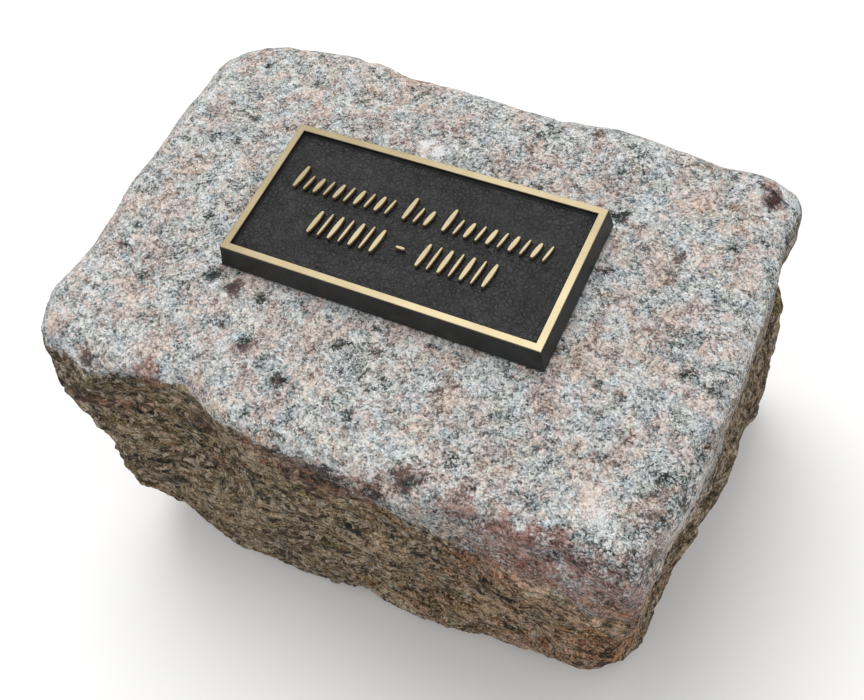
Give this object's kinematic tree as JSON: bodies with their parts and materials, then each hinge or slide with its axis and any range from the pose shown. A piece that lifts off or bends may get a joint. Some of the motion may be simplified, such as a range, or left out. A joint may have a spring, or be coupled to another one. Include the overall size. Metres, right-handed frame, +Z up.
{
  "type": "grave marker",
  "caption": "Small grave marker: a rough-split granite block with a cast bronze plaque lying on its level top.",
  "frame": {"origin": "on the ground, under the centre of the stone's bounding box", "axes": "+Z up, +X along the plaque's rows, +Y towards the back, so the rows are read from -Y"},
  "size_m": [0.205, 0.142, 0.1358],
  "materials": {
    "granite": "rough split sides, worn top",
    "bronze": "brushed border and strokes, dark textured ground and sides"
  },
  "bodies": {
    "root": {"granite_stone": "granite", "bronze_plaque": "bronze"}
  },
  "joints": []
}
